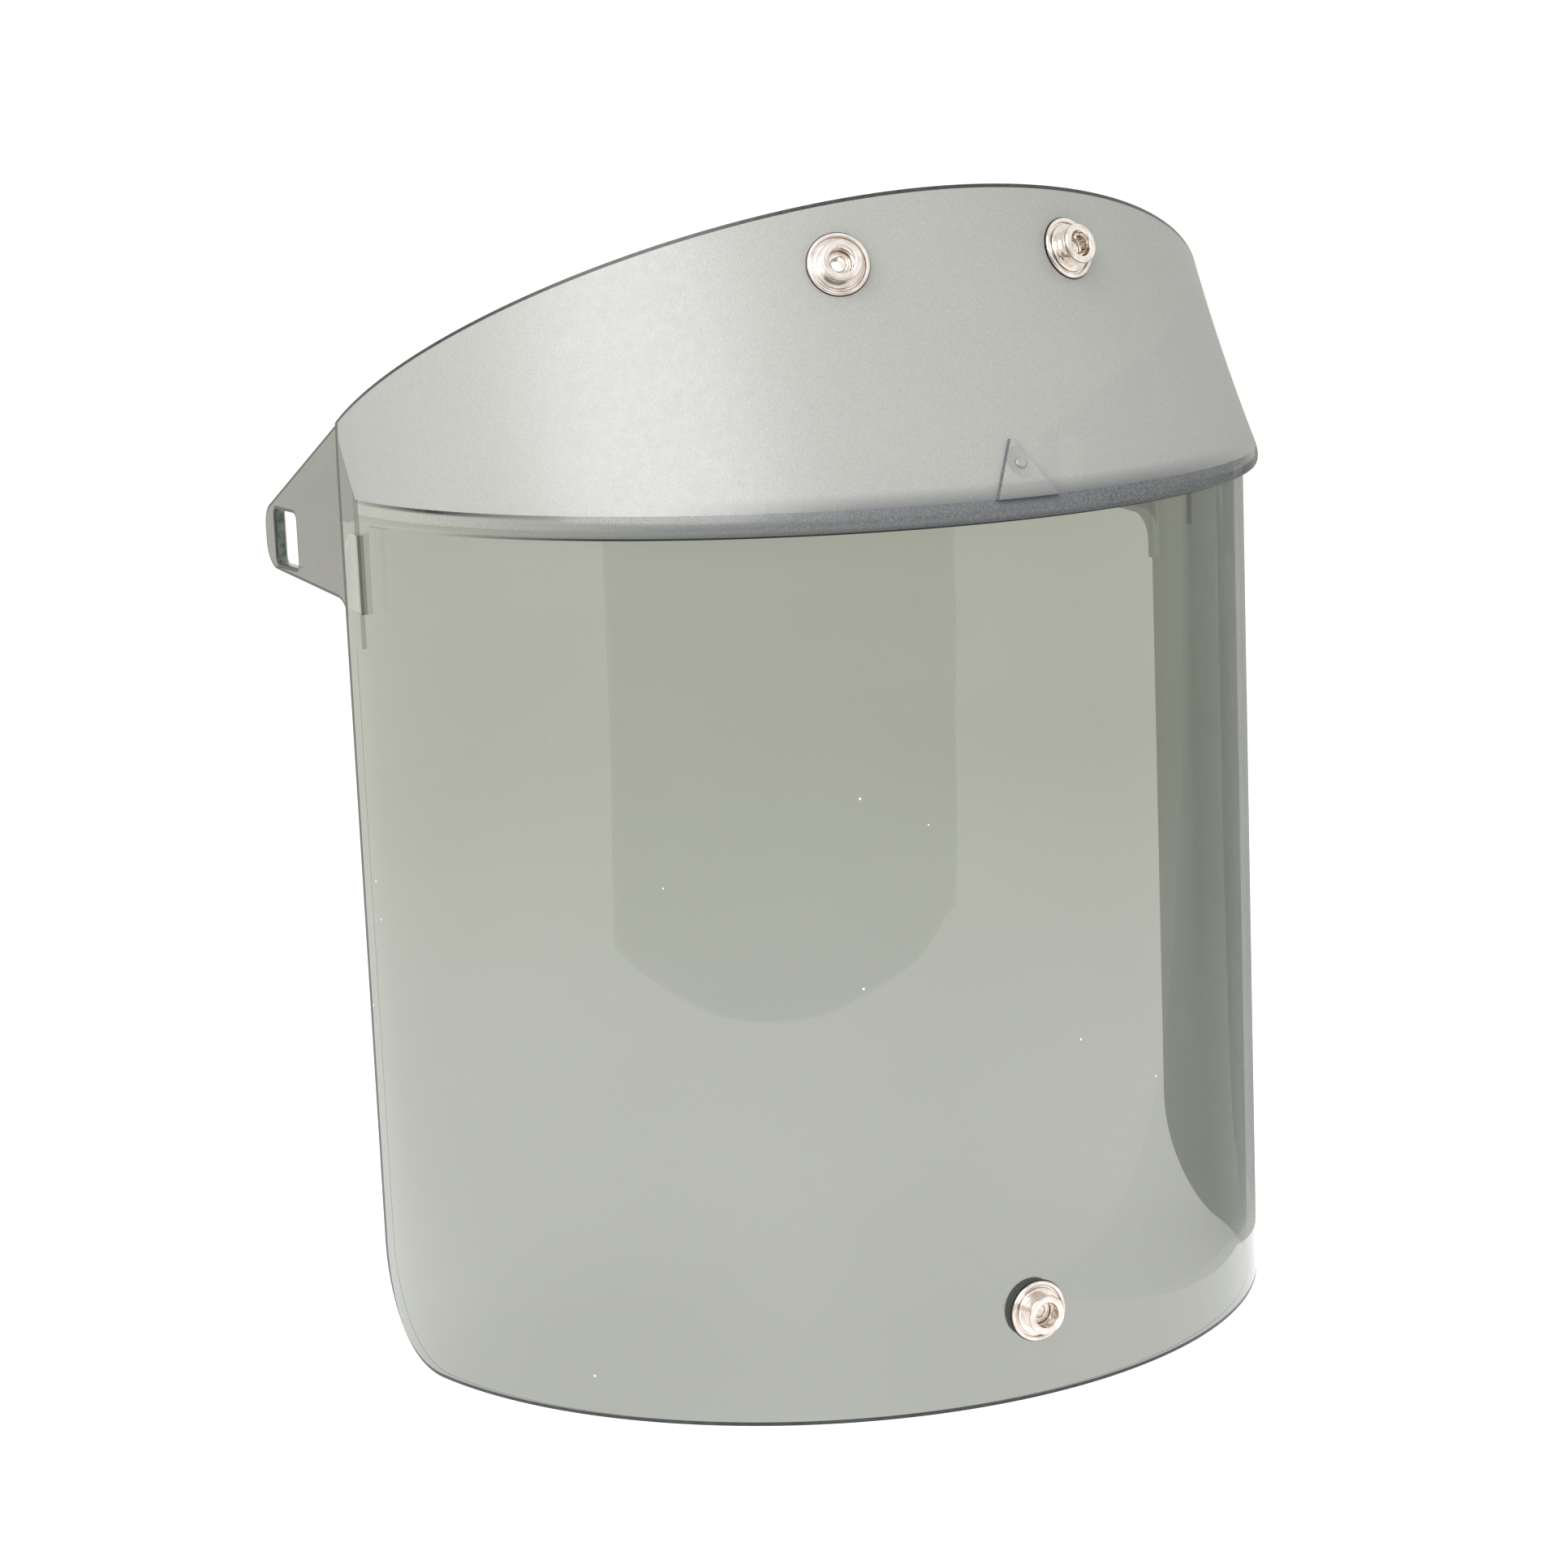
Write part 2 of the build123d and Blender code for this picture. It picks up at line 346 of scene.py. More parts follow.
def edge_line(name, from_outside):
    """Rounded corner of the rim: a thin dark line of painted shade from one side, and clear from the other.
    """
    g = Graph(name)
    streaks = g.noise(700.0, detail=3.0, rough=0.6)
    # Painted shade: the near-black colour stands for the darkness at the plastic's edge.
    colour = g.blend(g.spread(streaks), (0.012, 0.014, 0.013, 1), (0.035, 0.039, 0.037, 1))
    dark = g.add("BsdfPrincipled", Base_Color=colour, Roughness=g.spread(streaks, 0.3, 0.45),
                 Normal=g.bump(streaks, strength=0.15, distance=0.00005)).outputs[0]
    clear = g.see_through(g.blend(streaks, (0.56, 0.58, 0.55, 1), (0.62, 0.64, 0.61, 1)))
    inside = g.add("NewGeometry").outputs["Backfacing"]
    return g.finish(g.mix(inside, dark, clear) if from_outside else g.mix(inside, clear, dark))


def rim_face(name):
    """Flat of the rim: dark green where it is looked at from outside, clear from inside the plastic."""
    g = Graph(name)
    streaks = g.noise(500.0, detail=3.0, rough=0.6)
    colour = g.blend(g.spread(streaks), (0.045, 0.056, 0.049, 1), (0.14, 0.165, 0.145, 1))
    green = g.add("BsdfPrincipled", Base_Color=colour, Roughness=g.spread(streaks, 0.12, 0.3),
                  Normal=g.bump(streaks, strength=0.15, distance=0.00005)).outputs[0]
    clear = g.see_through(g.blend(streaks, (0.54, 0.55, 0.53, 1), (0.60, 0.61, 0.59, 1)))
    inside = g.add("NewGeometry").outputs["Backfacing"]
    return g.finish(g.mix(inside, green, clear))


def metal(name, pale, dark, rough):
    """Bright nickel plate on stamped sheet: faint turning marks, scuffs, and darker patches that are partly
    stains and partly painted reflection.
    """
    g = Graph(name)
    x, y, _ = g.axes()
    radius = g.math("SQRT", g.math("ADD", g.math("MULTIPLY", x, x), g.math("MULTIPLY", y, y)))
    rings = g.math("SINE", g.math("MULTIPLY", radius, 26000.0))
    # Darker patches: partly stains, partly painted reflection that gives the nickel the contrast of darker
    # surroundings.
    stain_and_reflection = g.ramp(g.noise(330.0, detail=3.0), 0.35, 0.7)
    scuffs = g.noise(2400.0, rough=0.7)
    height = g.math("ADD", g.math("MULTIPLY", rings, 0.25), scuffs)
    shader = g.add("BsdfPrincipled", Base_Color=g.blend(stain_and_reflection, pale, dark), Metallic=1.0,
                   Roughness=g.spread(scuffs, rough * 0.7, rough * 1.3),
                   Normal=g.bump(height, strength=0.10, distance=0.00003))
    return g.finish(shader.outputs[0])


def fibre(name):
    """Dark pressed fibre."""
    g = Graph(name)
    flecks = g.noise(1800.0, detail=4.0, rough=0.7)
    colour = g.blend(g.spread(flecks), (0.012, 0.013, 0.013, 1), (0.05, 0.052, 0.05, 1))
    shader = g.add("BsdfPrincipled", Base_Color=colour, Roughness=g.spread(flecks, 0.6, 0.85),
                   Normal=g.bump(flecks, strength=0.4, distance=0.0001))
    return g.finish(shader.outputs[0])


def studio_floor(name):
    """Pale floor that gives light of its own, so that it stays even. It turns warm away from the object."""
    g = Graph(name)
    distance = g.add("VectorMath", {"operation": "LENGTH"}, Vector=g.position()).outputs["Value"]
    glow = g.blend(g.ramp(distance, 0.1, 0.7), (1.02, 1.01, 1.02, 1), (0.85, 0.84, 0.765, 1))
    tone = g.spread(g.noise(3.0))
    shader = g.add("BsdfPrincipled", Base_Color=g.blend(tone, (0.17, 0.17, 0.17, 1), (0.19, 0.19, 0.19, 1)),
                   Roughness=0.9, Emission_Color=glow, Emission_Strength=1.08, Specular_IOR_Level=0.0)
    return g.finish(shader.outputs[0])


def room_card(name, colour, fades):
    """Part of the room that the plastic mirrors. One that fades is as pale as the floor near the object."""
    g = Graph(name)
    darker = tuple(0.9 * c for c in colour[:3]) + (1,)
    shade = g.blend(g.spread(g.noise(5.0)), darker, colour)
    if fades:
        x, y, _ = g.axes()
        share = g.math("MULTIPLY", g.ramp(x, 0.02, 0.12), g.ramp(y, -0.15, -0.05))
        shade = g.blend(share, (1.2, 1.2, 1.15, 1), shade)
    return g.finish(g.add("Emission", Color=shade, Strength=1.0).outputs[0])


# Zones of the moulding, which are its material slots. The materials below are in the same order.
WINDOW, BROW, LIP, FACET, EDGE, BROW_INSIDE, EAR, RIM, EDGE_INSIDE, BOWL = range(10)
zone_materials = [
    clear_plastic("window_tint", tint=(0.568, 0.582, 0.548, 1), paler=(0.576, 0.590, 0.557, 1), haze=0.025),
    satin_plastic("brow_satin", pale=(0.39, 0.395, 0.375, 1), dark=(0.305, 0.31, 0.295, 1),
                  rough=0.38, mirror_share=0.06),
    lip_plastic("lip_grain"),
    clear_plastic("facet_tint", tint=(0.32, 0.325, 0.31, 1), paler=(0.33, 0.335, 0.32, 1),
                  haze=0.03, rough=(0.1, 0.2)),
    edge_line("moulded_edge", from_outside=True),
    clear_plastic("brow_inner_gloss", tint=(0.80, 0.81, 0.78, 1), paler=(0.82, 0.83, 0.80, 1),
                  haze=0.12, rough=(0.05, 0.12)),
    clear_plastic("ear_tint", tint=(0.29, 0.29, 0.28, 1), paler=(0.31, 0.31, 0.30, 1),
                  haze=0.05, rough=(0.08, 0.16)),
    rim_face("rim_face"),
    edge_line("moulded_edge_inside", from_outside=False),
    # The gate's bowl: the brow's satin in darker colours, as painted shade in the dimple.
    satin_plastic("gate_bowl_painted_shade", pale=(0.31, 0.315, 0.30, 1), dark=(0.24, 0.245, 0.235, 1),
                  rough=0.35, mirror_share=0.12),
]
nickel = metal("nickel_plate", pale=(0.86, 0.80, 0.75, 1), dark=(0.62, 0.55, 0.49, 1), rough=0.10)
washer_fibre = fibre("washer_fibre")


# ================================ meshes ================================

def mesh_object(name, bm, materials):
    """Object from a bmesh, with its normals facing out."""
    bmesh.ops.recalc_face_normals(bm, faces=bm.faces)
    mesh = bpy.data.meshes.new(name)
    bm.to_mesh(mesh)
    bm.free()
    for material in materials:
        mesh.materials.append(material)
    piece = bpy.data.objects.new(name, mesh)
    bpy.context.scene.collection.objects.link(piece)
    return piece


def smooth(piece, angle):
    """Smooth shading, apart from the corners sharper than the angle in degrees."""
    piece.data.shade_smooth()
    piece.data.set_sharp_from_angle(angle=math.radians(angle))


def round_edges(bm, edges, radius, zone):
    """Rounds edges by a radius in millimetres."""
    bmesh.ops.bevel(bm, geom=edges, offset=radius * MM, offset_type="OFFSET", segments=2, profile=0.5,
                    affect="EDGES", clamp_overlap=True, material=zone)


def lip_share(height):
    """Share of the brow's overhang at a height above the window's top, on a smooth curve."""
    marks = LIP_PROFILE
    height = min(max(height, 0.0), marks[-1][0])

    def slope(i):
        before, after = marks[max(i - 1, 0)], marks[min(i + 1, len(marks) - 1)]
        return (after[1] - before[1]) / (after[0] - before[0])

    for i in range(len(marks) - 1):
        (h0, s0), (h1, s1) = marks[i], marks[i + 1]
        if height <= h1:
            break
    run = h1 - h0
    t = (height - h0) / run
    return ((2 * t**3 - 3 * t**2 + 1) * s0 + (t**3 - 2 * t**2 + t) * run * slope(i)
            + (3 * t**2 - 2 * t**3) * s1 + (t**3 - t**2) * run * slope(i + 1))


def brow_shape(z):
    """Axis position, half width and depth of the brow's section."""
    rise = (z - LIP_TOP) / BROW_RISE
    half = HALF_WIDTH + BROW_TAPER * rise**2
    start, lean, easing = BROW_AXIS
    return start + lean * rise + easing * rise**2, half, half + BROW_DEPTH[0] + BROW_DEPTH[1] * rise


def section(z):
    """Axis position, half width and depth of the outer skin at any height."""
    if z >= LIP_TOP:
        return brow_shape(z)
    share = lip_share(z - WINDOW_TOP)
    window = (0.0, HALF_WIDTH, WINDOW_DEPTH)
    return tuple(low + share * (high - low) for low, high in zip(window, brow_shape(LIP_TOP)))


def skin_section(z, inset):
    """Section of the outer skin, or of the inner one, which is inset and whose lip is lifted."""
    axis_y, half, depth = section(z - (LIP_FLOOR if inset else 0.0))
    return axis_y, half - inset, depth - inset


def skin_x(y, z, inset):
    axis_y, half, depth = skin_section(z, inset)
    if y >= axis_y:
        return half
    return half * math.sqrt(max(0.0, 1 - ((axis_y - y) / depth) ** 2))


# Columns run up the skin. Each is named by where it stands on the window: near the back edges by
# its share of the way from the lower corner's centre to the edge, and elsewhere by its angle round
# the front. From straight_share on, the window's side is straight.
CORNER_Y = SIDE_WALL - CORNER_RADIUS

straight_share = -CORNER_Y / CORNER_RADIUS
margin_share = 1 - SIDE_MARGIN / CORNER_RADIUS
corner_shares = [straight_share * i / CORNER_STEPS for i in range(1, CORNER_STEPS + 1)]
corner_shares += [straight_share + (margin_share - straight_share) * i / STRAIGHT_STEPS
                  for i in range(1, STRAIGHT_STEPS + 1)] + [1.0]


def column_point(side, share, angle, z, inset):
    """Point of one column at height z. share is set near the back edges, and angle round the front."""
    axis_y, half, depth = skin_section(z, inset)
    flat_end = min(axis_y, SIDE_WALL - FACET_LEAST)
    if share is not None and share >= straight_share:
        along = (share - straight_share) / (margin_share - straight_share)
        y = SIDE_WALL if share == 1.0 else flat_end + along * (SIDE_WALL - SIDE_MARGIN - flat_end)
        return side * skin_x(y, z, inset), y
    if share is not None:
        window_depth = WINDOW_DEPTH - inset
        angle = math.acos(-(CORNER_Y + CORNER_RADIUS * share) / window_depth)
    reach = math.acos(max(-1.0, min(1.0, (axis_y - flat_end) / depth)))
    turn = angle * reach / (math.pi / 2)
    return side * half * math.sin(turn), axis_y - depth * math.cos(turn)


def top_height(side, share, angle, inset):
    """Height at which a column meets the sloping top edge."""
    low, high = LIP_TOP, LIP_TOP + 2 * BROW_RISE
    for _ in range(40):
        z = (low + high) / 2
        y = column_point(side, share, angle, z, inset)[1]
        if z < TOP_EDGE_BACK + TOP_EDGE_SLOPE * (SIDE_WALL - y):
            low = z
        else:
            high = z
    return z


def skin_columns():
    """Every column as (side, share, angle), from the back edge at +X round to the one at -X."""
    full = math.acos(-CORNER_Y / WINDOW_DEPTH)
    found = [(1, share, None) for share in reversed(corner_shares)]
    for i in range(FRONT_STEPS + 1):
        angle = full * (1 - 2 * i / FRONT_STEPS)
        found.append((1 if angle >= 0 else -1, None, abs(angle)))
    return found + [(-1, share, None) for share in corner_shares]


columns = skin_columns()


def skin_rows(inset):
    """Points of one skin as columns of rows, with each row's zone."""
    lift = LIP_FLOOR if inset else 0.0
    grid = []
    for side, share, angle in columns:
        column = []
        for row in range(CORNER_ROWS):
            down = (1 - MARGIN / CORNER_RADIUS) * (1 - (row - 1) / (CORNER_ROWS - 1)) if row else 1.0
            if share is None:
                z = CORNER_RADIUS * (1 - down)
                column.append((*column_point(side, None, angle, z, inset), z))
            else:
                y = CORNER_Y + CORNER_RADIUS * share * math.sqrt(1 - down**2 / 2)
                z = CORNER_RADIUS - CORNER_RADIUS * down * math.sqrt(1 - share**2 / 2)
                column.append((side * skin_x(y, z, inset), y, z))
        heights = [CORNER_RADIUS + (WINDOW_TOP + lift - CORNER_RADIUS) * i / WINDOW_ROWS
                   for i in range(WINDOW_ROWS)]
        heights += [WINDOW_TOP + lift + (LIP_TOP - WINDOW_TOP) * (i / LIP_ROWS) ** LIP_GATHER
                    for i in range(LIP_ROWS)]
        top = top_height(side, share, angle, inset)
        start = LIP_TOP + lift
        heights += [start + (top - MARGIN - start) * i / BROW_ROWS for i in range(BROW_ROWS + 1)] + [top]
        for z in heights:
            x, y = column_point(side, share, angle, z, inset)
            column.append((x, y, z))
        grid.append(column)
    return grid


def zone_of(column, row, inset):
    """Material zone of the face between a column and a row and their next ones."""
    share, next_share = columns[column][1], columns[column + 1][1]
    last_row = CORNER_ROWS + WINDOW_ROWS + LIP_ROWS + BROW_ROWS
    # The outer skin's rows and columns along the rim take the dark edge zone, painted shade.
    if not inset and (column in (0, len(columns) - 2) or row in (0, last_row)):
        return EDGE
    if row < CORNER_ROWS + WINDOW_ROWS:
        return WINDOW
    if inset:
        return BROW_INSIDE
    if share is not None and next_share is not None and min(share, next_share) >= straight_share - 1e-6:
        return FACET
    return LIP if row < CORNER_ROWS + WINDOW_ROWS + LIP_ROWS else BROW


def shell():
    """The moulding's two skins and its rim, closed, with a small rounding on the rim."""
    bm = bmesh.new()
    sheets = []
    for inset in (0.0, WALL):
        grid = [[bm.verts.new(placed(*point)) for point in column] for column in skin_rows(inset)]
        sheets.append(grid)
        for k in range(len(grid) - 1):
            for i in range(len(grid[0]) - 1):
                corners = (grid[k][i], grid[k + 1][i], grid[k + 1][i + 1], grid[k][i + 1])
                face = bm.faces.new(corners if inset else corners[::-1])
                face.material_index = zone_of(k, i, inset)
    loops = []
    for grid in sheets:
        last, top = len(grid) - 1, len(grid[0]) - 1
        loop = [grid[k][0] for k in range(last)] + [grid[last][i] for i in range(top)]
        loop += [grid[k][top] for k in range(last, 0, -1)] + [grid[0][i] for i in range(top, 0, -1)]
        loops.append(loop)
    outer, inner = loops
    count = len(outer)
    for j in range(count):
        face = bm.faces.new((outer[j], outer[(j + 1) % count], inner[(j + 1) % count], inner[j]))
        face.material_index = RIM
    bmesh.ops.recalc_face_normals(bm, faces=bm.faces)
    for loop, zone in ((outer, EDGE), (inner, EDGE_INSIDE)):
        rim = [bm.edges.get((loop[j], loop[(j + 1) % count])) for j in range(count)]
        round_edges(bm, rim, RIM_ROUNDING, zone)
    return bm


def rounded(points, radii, closed=True, steps=6):
    """Points of an outline, or of an open line, with its corners rounded."""
    result = []
    count = len(points)
    for i, (point, radius) in enumerate(zip(points, radii)):
        here = Vector(point)
        if radius == 0 or (not closed and i in (0, count - 1)):
            result.append(here)
            continue
        back = (Vector(points[i - 1]) - here).normalized()
        ahead = (Vector(points[(i + 1) % count]) - here).normalized()
        angle = back.angle(ahead)
        start = here + back * radius / math.tan(angle / 2)
        end = here + ahead * radius / math.tan(angle / 2)
        centre = here + (back + ahead).normalized() * radius / math.sin(angle / 2)
        a, b = start - centre, end - centre
        sweep = a.angle_signed(b)
        for step in range(steps + 1):
            turn = -sweep * step / steps
            result.append(centre + Matrix.Rotation(turn, 2) @ a)
    return result


def plate(bm, outline, hole, outer_x, inner_x, face_zone, side_zone, rounding=0.0, margin=0.0):
    """Plate from an outline in y and z, with a hole or None. outer_x and inner_x give a point's x."""
    made = []
    loops = []
    for loop in (outline, hole):
        if loop:
            loops.append([bm.verts.new(placed(outer_x(p), p[0], p[1])) for p in loop])
    edges = []
    for loop in loops:
        edges += [bm.edges.new((loop[j], loop[(j + 1) % len(loop)])) for j in range(len(loop))]
    filled = bmesh.ops.triangle_fill(bm, edges=edges, use_beauty=True, use_dissolve=False)
    caps = [f for f in filled["geom"] if isinstance(f, bmesh.types.BMFace)]
    twins = {}
    for loop, source in zip(loops, (outline, hole)):
        for vert, p in zip(loop, source):
            twins[vert] = bm.verts.new(placed(inner_x(p), p[0], p[1]))
    for face in caps:
        face.material_index = face_zone
        other = bm.faces.new([twins[v] for v in reversed(face.verts)])
        other.material_index = WINDOW
        made += [face, other]
    outer_rim, inner_rim = [], []
    for loop in loops:
        for j in range(len(loop)):
            a, b = loop[j], loop[(j + 1) % len(loop)]
            face = bm.faces.new((a, b, twins[b], twins[a]))
            face.material_index = side_zone
            made.append(face)
            outer_rim.append(bm.edges.get((a, b)))
            inner_rim.append(bm.edges.get((twins[a], twins[b])))
    bmesh.ops.recalc_face_normals(bm, faces=made)
    if margin:
        ring = bmesh.ops.inset_region(bm, faces=caps, thickness=margin * MM, use_boundary=True,
                                      use_even_offset=True)
        for face in ring["faces"]:
            face.material_index = EDGE
    if rounding:
        round_edges(bm, outer_rim, rounding, EDGE)
        round_edges(bm, inner_rim, rounding, WINDOW)


def ear(bm, side):
    """Slotted ear behind the brow's end. Its root lies inside the moulding's wall."""
    root = SIDE_WALL - EAR_ROOT
    throat_low = EAR_LOW_AT_WALL - THROAT_DROP * EAR_RADII[2]
    points = [(root, throat_low), (SIDE_WALL, throat_low), (SIDE_WALL, EAR_LOW_AT_WALL),
              (EAR_BACK, EAR_LOW_AT_BACK), (EAR_BACK, EAR_TOP_AT_BACK), (SIDE_WALL, TOP_EDGE_BACK),
              (root, TOP_EDGE_BACK)]
    outline = rounded(points, (0, 0, EAR_RADII[2], EAR_RADII[1], EAR_RADII[0], 0, 0), steps=10)
    y, z, length, height, corner = SLOT
    box = [(y + a * length / 2, z + b * height / 2) for a, b in ((-1, -1), (1, -1), (1, 1), (-1, 1))]
    slot = rounded(box, (corner,) * 4)
    plate(bm, outline, slot, lambda p: side * EAR_OUTER, lambda p: side * EAR_INNER, EAR, RIM,
          EAR_ROUNDING, EAR_MARGIN)
    for face in bm.faces:
        middle = face.calc_center_median() / MM
        if abs(middle.y - shift_y - root) < 0.3:
            face.material_index = BROW_INSIDE


def wedge_pad(bm, side):
    """Pad on the window's side that rises towards the front, where it ends in a step."""
    points = [(PAD_FRONT, PAD_LOW), (PAD_BACK, PAD_LOW), (PAD_BACK, PAD_HIGH), (PAD_FRONT, PAD_HIGH)]
    outline = rounded(points, (0, 0, PAD_CORNER, 0), steps=10)

    def outer_x(p):
        return side * (HALF_WIDTH + PAD_PROUD * (PAD_BACK - p[0]) / (PAD_BACK - PAD_FRONT))

    plate(bm, outline, None, outer_x, lambda p: side * (HALF_WIDTH - WALL / 2), WINDOW, WINDOW)
    for face in bm.faces:
        middle = face.calc_center_median() / MM
        if abs(middle.y - shift_y - PAD_FRONT) < 0.1 and abs(middle.x) > HALF_WIDTH - 1.5:
            face.material_index = FACET


def gate_pad(bm):
    """Raised triangle on the brow, between two copies of the skin."""
    rows, steps = 18, 16
    layers = []
    for proud in (GATE_PROUD, -WALL / 2):
        layer = []
        for i in range(rows + 1):
            z = LIP_TOP + (GATE_TOP - LIP_TOP) * i / rows
            width = GATE_TIP + (GATE_WIDTH / 2 - GATE_TIP) * (1 - i / rows)
            axis_y, half, depth = brow_shape(z)
            row = []
            for j in range(steps + 1):
                x = width * (2 * j / steps - 1)
                y = axis_y - (depth + proud) * math.sqrt(1 - (x / (half + proud)) ** 2)
                row.append(bm.verts.new(placed(x, y, z)))
            layer.append(row)
        layers.append(layer)
    made = []
    for layer in layers:
        for i in range(rows):
            for j in range(steps):
                low, high = layer[i], layer[i + 1]
                made.append(bm.faces.new((low[j], low[j + 1], high[j + 1], high[j])))
    front, back = layers

    def wall(a, b):
        for j in range(len(a) - 1):
            made.append(bm.faces.new((a[j], a[j + 1], b[j + 1], b[j])))

    wall(front[0], back[0])
    wall(front[rows], back[rows])
    for face in made:
        face.material_index = BROW
    flanks = len(made)
    # Painted shade: the pad's sides take the lip's dark grain, as dark lines along them.
    wall([row[0] for row in front], [row[0] for row in back])
    wall([row[steps] for row in front], [row[steps] for row in back])
    for face in made[flanks:]:
        face.material_index = LIP
    bmesh.ops.recalc_face_normals(bm, faces=made)
    rim = [bm.edges.get(pair) for pair in zip(front[rows], front[rows][1:])]
    rim += [bm.edges.get((front[i][j], front[i + 1][j])) for j in (0, steps) for i in range(rows)]
    round_edges(bm, rim, GATE_ROUNDING, BROW)


def surface_point(x, z):
    axis_y, half, depth = section(z)
    return Vector((x, axis_y - depth * math.sqrt(1 - (x / half) ** 2), z))


def seat_matrix(x, z, sunk):
    """Frame placement whose Z axis points straight out of the outer skin, sunk below it."""
    step = 0.1
    along_x = (surface_point(x + step, z) - surface_point(x - step, z)).normalized()
    along_z = surface_point(x, z + step) - surface_point(x, z - step)
    outward = along_x.cross(along_z).normalized()
    origin = placed(*(surface_point(x, z) - outward * sunk))
    axes = Matrix((along_x, outward.cross(along_x), outward)).transposed()
    return Matrix.Translation(origin) @ axes.to_4x4()


def turned(bm, profile, matrix, segments, zone=0):
    """Closed solid of revolution about Z from a closed profile of (radius, height)."""
    rings = []
    for radius, height in profile:
        ring = []
        for k in range(segments):
            turn = math.tau * k / segments
            point = Vector((radius * math.cos(turn) * MM, radius * math.sin(turn) * MM, height * MM))
            ring.append(bm.verts.new(matrix @ point))
        rings.append(ring)
    made = []
    for a, b in zip(rings, rings[1:] + rings[:1]):
        for k in range(segments):
            face = bm.faces.new((a[k], a[(k + 1) % segments], b[(k + 1) % segments], b[k]))
            face.material_index = zone
            made.append(face)
    poles = [v for (radius, _), ring in zip(profile, rings) if radius == 0 for v in ring]
    if poles:
        bmesh.ops.remove_doubles(bm, verts=poles, dist=1e-9)
    bmesh.ops.recalc_face_normals(bm, faces=[f for f in made if f.is_valid])


def bowl_profile():
    """Closed profile of what is cut out round the gate's stub: a ball's bowl, and all above the stub."""
    ball = (DIMPLE_RADIUS**2 + DIMPLE_DEPTH**2) / (2 * DIMPLE_DEPTH)
    reach = BOWL_REACH * DIMPLE_RADIUS
    top = STUB_HEIGHT - DIMPLE_DEPTH
    profile = [(radius, top + height) for radius, height in STUB_TOP]
    profile += [(STUB_RADIUS - STUB_CHAMFER, top), (STUB_RADIUS, top - STUB_CHAMFER)]
    for i in range(BOWL_STEPS + 1):
        radius = STUB_RADIUS + (reach - STUB_RADIUS) * i / BOWL_STEPS
        profile.append((radius, ball - DIMPLE_DEPTH - math.sqrt(ball**2 - radius**2)))
    return profile + [(reach, 2 * WALL), (0, 2 * WALL)]


def combine(piece, operand, operation):
    """Applies a boolean with the operand, which keeps each face's zone, and removes the operand."""
    modifier = piece.modifiers.new("combine", "BOOLEAN")
    modifier.operation = operation
    modifier.solver = "EXACT"
    modifier.material_mode = "INDEX"
    modifier.object = operand
    graph = bpy.context.evaluated_depsgraph_get()
    mesh = bpy.data.meshes.new_from_object(piece.evaluated_get(graph))
    piece.modifiers.clear()
    piece.data = mesh
    bpy.data.objects.remove(operand, do_unlink=True)


def sheet_section(line, half, steps=6):
    """Closed section of a sheet that follows the line, with round ends."""
    count = len(line)
    sides = ([], [])
    for i, point in enumerate(line):
        before = line[i] - line[i - 1] if i else line[1] - line[0]
        after = line[i + 1] - line[i] if i < count - 1 else before
        ahead = (before.normalized() + after.normalized()).normalized()
        across = Vector((-ahead.y, ahead.x)) * half / max(0.5, ahead.dot(after.normalized()))
        sides[0].append(point + across)
        sides[1].append(point - across)

    def cap(point, start):
        return [point + Matrix.Rotation(-math.pi * k / steps, 2) @ (start - point) for k in range(1, steps)]

    outline = sides[0] + cap(line[-1], sides[0][-1]) + sides[1][::-1] + cap(line[0], sides[1][0])
    return [(p.x, p.y) for p in outline]


def fastener_piece(name, node, profile, place, segments, material):
    bm = bmesh.new()
    turned(bm, profile, Matrix.Identity(4), segments)
    piece = mesh_object(name, bm, [material])
    piece.matrix_world = seat_matrix(*place, SEAT_DEPTH)
    smooth(piece, STAMPED_SHARP)
    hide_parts(node)
    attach(piece, "root")


# ================================ moulding ================================

snap_places = {
    "upper_right": (-UPPER_STUD[0], UPPER_STUD[1]),
    "upper_left": UPPER_STUD,
    "lower": LOWER_STUD,
}

moulding = mesh_object("visor_moulding", shell(), zone_materials)

added = bmesh.new()
for side in (-1, 1):
    ear(added, side)
    wedge_pad(added, side)
gate_pad(added)
seat_floor = [(0, -WALL), (SEAT_RADIUS, -WALL), (SEAT_RADIUS, 0), (0, 0)]
for x, z in snap_places.values():
    zone = WINDOW if z < WINDOW_TOP else BROW
    turned(added, seat_floor, seat_matrix(x, z, SEAT_DEPTH), SEAT_SEGMENTS, zone)
combine(moulding, mesh_object("added", added, zone_materials), "UNION")

cuts = bmesh.new()
seat_cutter = [(0, -6 * WALL), (HOLE_RADIUS, -6 * WALL), (HOLE_RADIUS, 0), (SEAT_RADIUS, 0),
               (SEAT_RADIUS, WALL), (0, WALL)]
# The seats' walls take the dark edge zone, painted shade in the recess.
for x, z in snap_places.values():
    turned(cuts, seat_cutter, seat_matrix(x, z, SEAT_DEPTH), SEAT_SEGMENTS, EDGE)
turned(cuts, bowl_profile(), seat_matrix(*GATE_POINT, -GATE_PROUD), BOWL_SEGMENTS, BOWL)
combine(moulding, mesh_object("cut", cuts, zone_materials), "DIFFERENCE")
smooth(moulding, MOULDED_SHARP)
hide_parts("visor")
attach(moulding, "root")


# ================================ snap fasteners ================================

